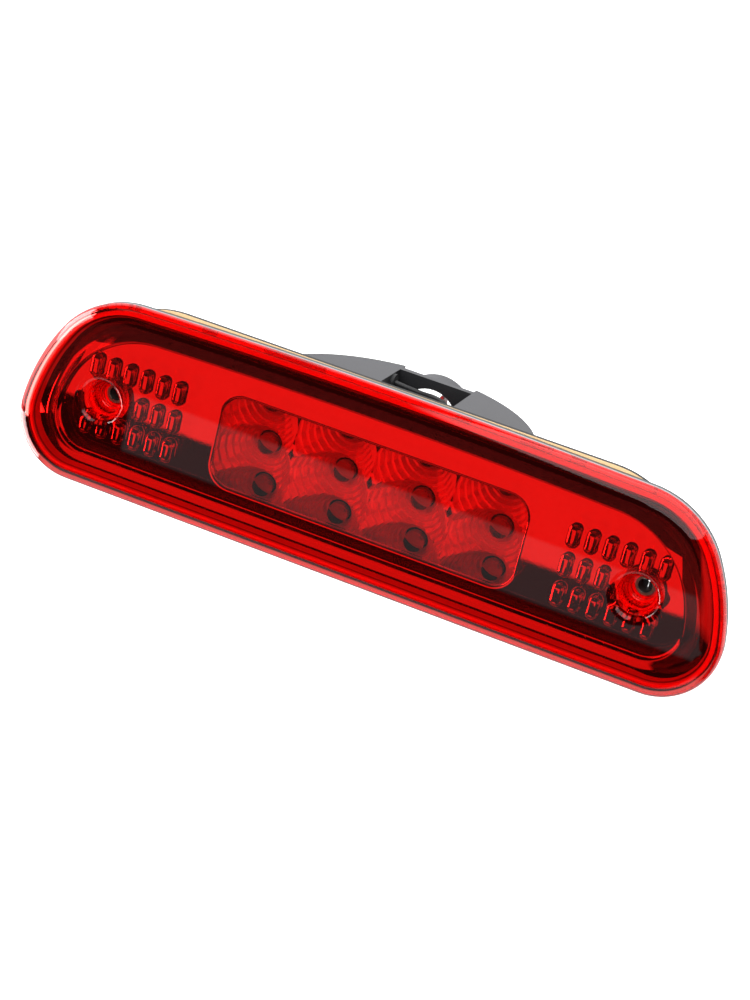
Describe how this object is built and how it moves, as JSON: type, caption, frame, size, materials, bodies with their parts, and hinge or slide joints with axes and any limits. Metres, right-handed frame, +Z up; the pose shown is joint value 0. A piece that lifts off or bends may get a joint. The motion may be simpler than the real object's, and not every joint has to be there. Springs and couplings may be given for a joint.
{
  "type": "third brake light",
  "caption": "High-mounted LED brake light: long red lens over a metallised bezel and bowl reflector, dark rear housing with foam gasket, screw wells and two-wire pigtail.",
  "frame": {"origin": "centre of the gasket's rear face, midway between the two mounting screws, on the plane that sits on the vehicle", "axes": "+X along the lamp, +Z up, +Y from the lens towards the vehicle, so the lens looks along -Y"},
  "size_m": [0.2768, 0.0842, 0.0953],
  "materials": {
    "lens_red": "gloss",
    "bezel_metal": "gloss",
    "reflector_metal": "gloss",
    "led_epoxy": "gloss",
    "board_green": "satin",
    "chip_black": "matte",
    "screw_steel": "satin",
    "housing_grey": "matte",
    "sleeve_steel": "satin",
    "foam_black": "matte",
    "adhesive_tan": "matte",
    "seal_clear": "satin",
    "rubber_black": "satin",
    "wire_red": "satin",
    "wire_black": "satin",
    "plug_black": "satin",
    "plug_seal_orange": "satin",
    "lock_white": "satin",
    "blade_tin": "satin"
  },
  "bodies": {
    "root": {"outer_lens": "lens_red", "lens_seal": "seal_clear", "front_bezel": "bezel_metal", "led_reflector": "reflector_metal", "led_board": "board_green", "polarity_diode": "chip_black", "module_screw_left": "screw_steel", "module_screw_right": "screw_steel", "rear_housing": "housing_grey", "screw_sleeve_left": "sleeve_steel", "screw_sleeve_right": "sleeve_steel", "gasket_foam": "foam_black", "gasket_adhesive": "adhesive_tan", "wire_grommet_red": "rubber_black", "wire_grommet_black": "rubber_black", "wire_red": "wire_red", "wire_black": "wire_black", "connector_shell": "plug_black", "connector_lock": "lock_white", "connector_seal": "plug_seal_orange", "terminal_red": "blade_tin", "terminal_black": "blade_tin", "resistor_1": "chip_black", "resistor_2": "chip_black", "resistor_3": "chip_black", "resistor_4": "chip_black", "led_row1_column1": "led_epoxy", "led_row1_column2": "led_epoxy", "led_row1_column3": "led_epoxy", "led_row1_column4": "led_epoxy", "led_row2_column1": "led_epoxy", "led_row2_column2": "led_epoxy", "led_row2_column3": "led_epoxy", "led_row2_column4": "led_epoxy", "led_row3_column1": "led_epoxy", "led_row3_column2": "led_epoxy", "led_row3_column3": "led_epoxy", "led_row3_column4": "led_epoxy"}
  },
  "joints": []
}
